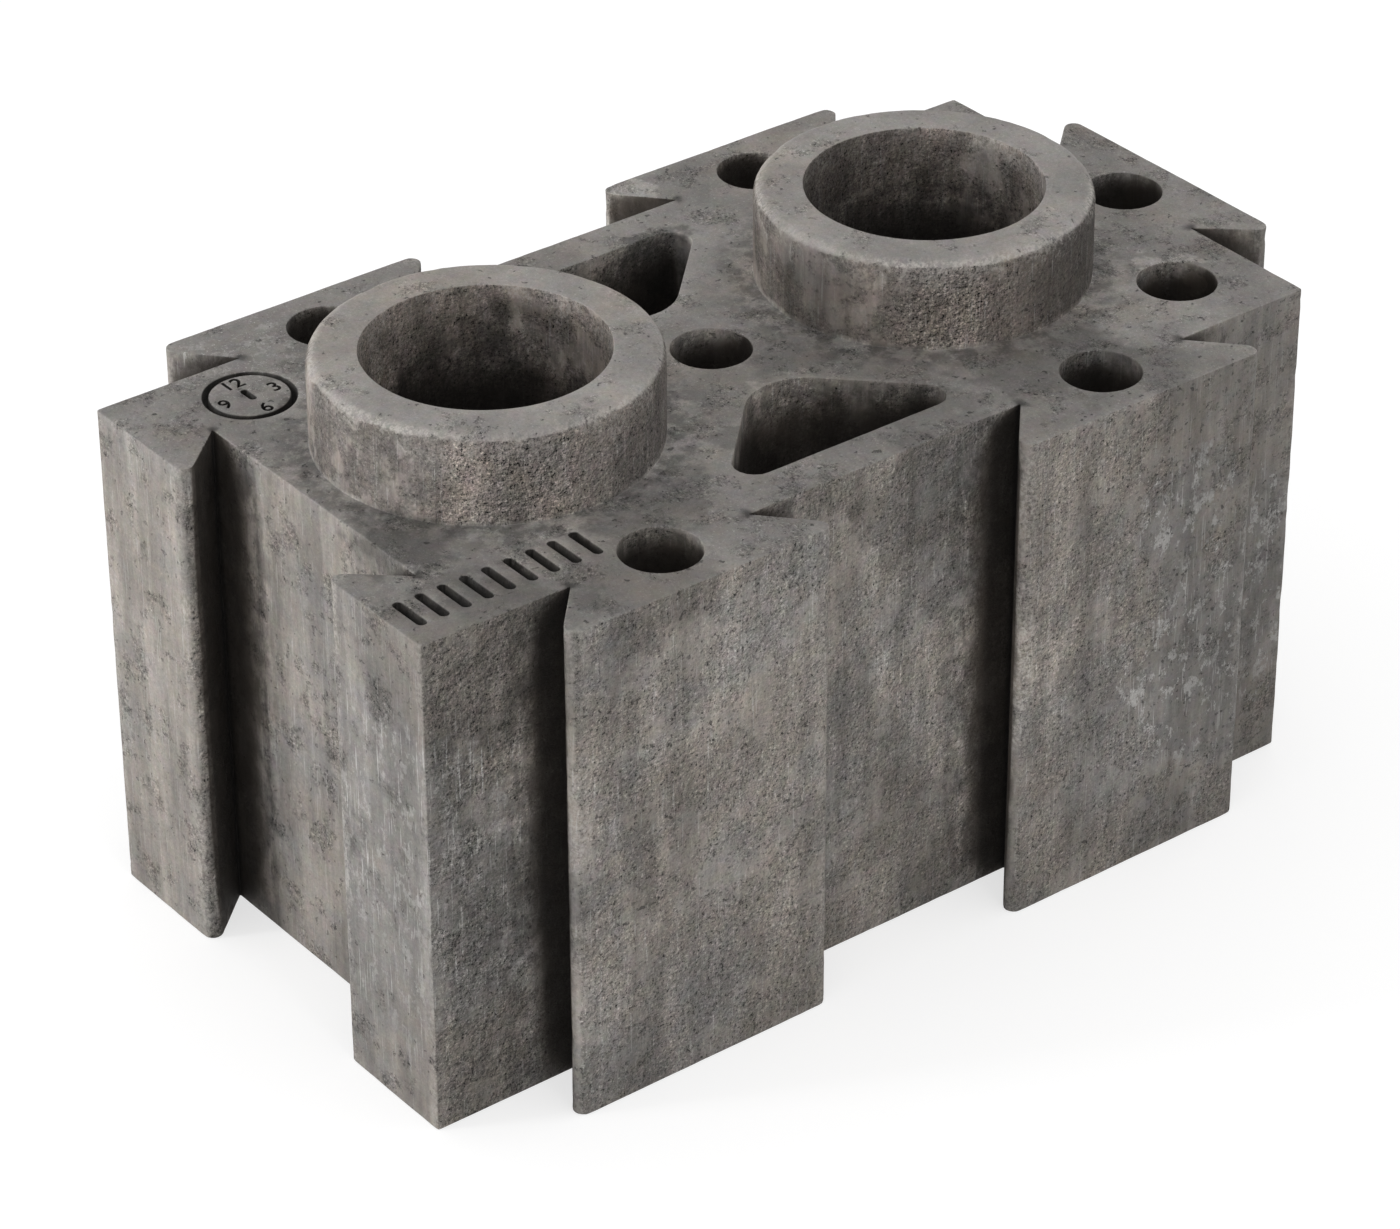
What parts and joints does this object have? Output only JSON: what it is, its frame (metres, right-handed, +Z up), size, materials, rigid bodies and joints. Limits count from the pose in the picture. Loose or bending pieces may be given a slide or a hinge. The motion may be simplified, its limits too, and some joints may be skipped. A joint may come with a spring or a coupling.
{
  "type": "interlocking building brick",
  "caption": "Moulded interlocking brick with hollow top bosses, pockets beneath, dovetail tabs and sockets, three-sided cores and vertical pin holes.",
  "frame": {"origin": "centre of the middle pin hole at the underside", "axes": "+Z up out of the bosses, +X along the length towards the end tab, the socket end at -X"},
  "size_m": [0.3239, 0.1906, 0.1806],
  "materials": {
    "composite": "matte"
  },
  "bodies": {
    "root": {"brick": "composite"}
  },
  "joints": []
}
